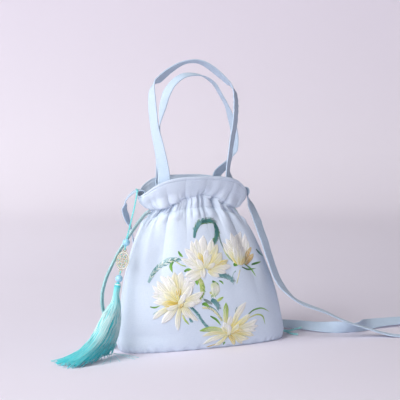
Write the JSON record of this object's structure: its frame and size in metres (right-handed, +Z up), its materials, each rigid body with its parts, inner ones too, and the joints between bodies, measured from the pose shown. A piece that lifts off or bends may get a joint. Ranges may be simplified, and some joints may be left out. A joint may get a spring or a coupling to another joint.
{
  "type": "embroidered drawstring purse",
  "caption": "Pale blue cloth drawstring purse: stuffed pouch, gathered corded neck under a frill, short handles, long shoulder strap and a hanging tassel with beads and openwork medallion.",
  "frame": {"origin": "middle of the base panel's underside, on the surface that the purse stands on", "axes": "+Z up through the gathered neck, +X towards the purse's own right seam as the front is seen, -Y out of the embroidered front"},
  "size_m": [0.6362, 0.1864, 0.3485],
  "materials": {
    "cloth": "pale ice-blue plain-woven cotton and linen, matt, with embroidered flowers",
    "strap_cloth": "blue-grey woven cloth folded flat and stitched along both edges",
    "cord": "pale blue-green twisted cord with a soft sheen",
    "thread": "teal twisted silk thread",
    "bead_glass": "polished light blue glass",
    "enamelled_gilt": "gilt openwork with cream and teal enamel",
    "tassel_silk": "teal rayon threads with a satin sheen"
  },
  "bodies": {
    "root": {"pouch_wall": "cloth", "base_panel": "cloth", "handle_front": "strap_cloth", "handle_back": "strap_cloth", "shoulder_strap": "strap_cloth", "drawstring_left_front": "cord", "drawstring_left_back": "cord", "drawstring_left_knot": "cord", "drawstring_right_front": "cord", "drawstring_right_back": "cord", "drawstring_right_knot": "cord", "pendant_thread": "thread", "bead_upper": "bead_glass", "medallion": "enamelled_gilt", "bead_lower": "bead_glass", "tassel": "tassel_silk"}
  },
  "joints": []
}
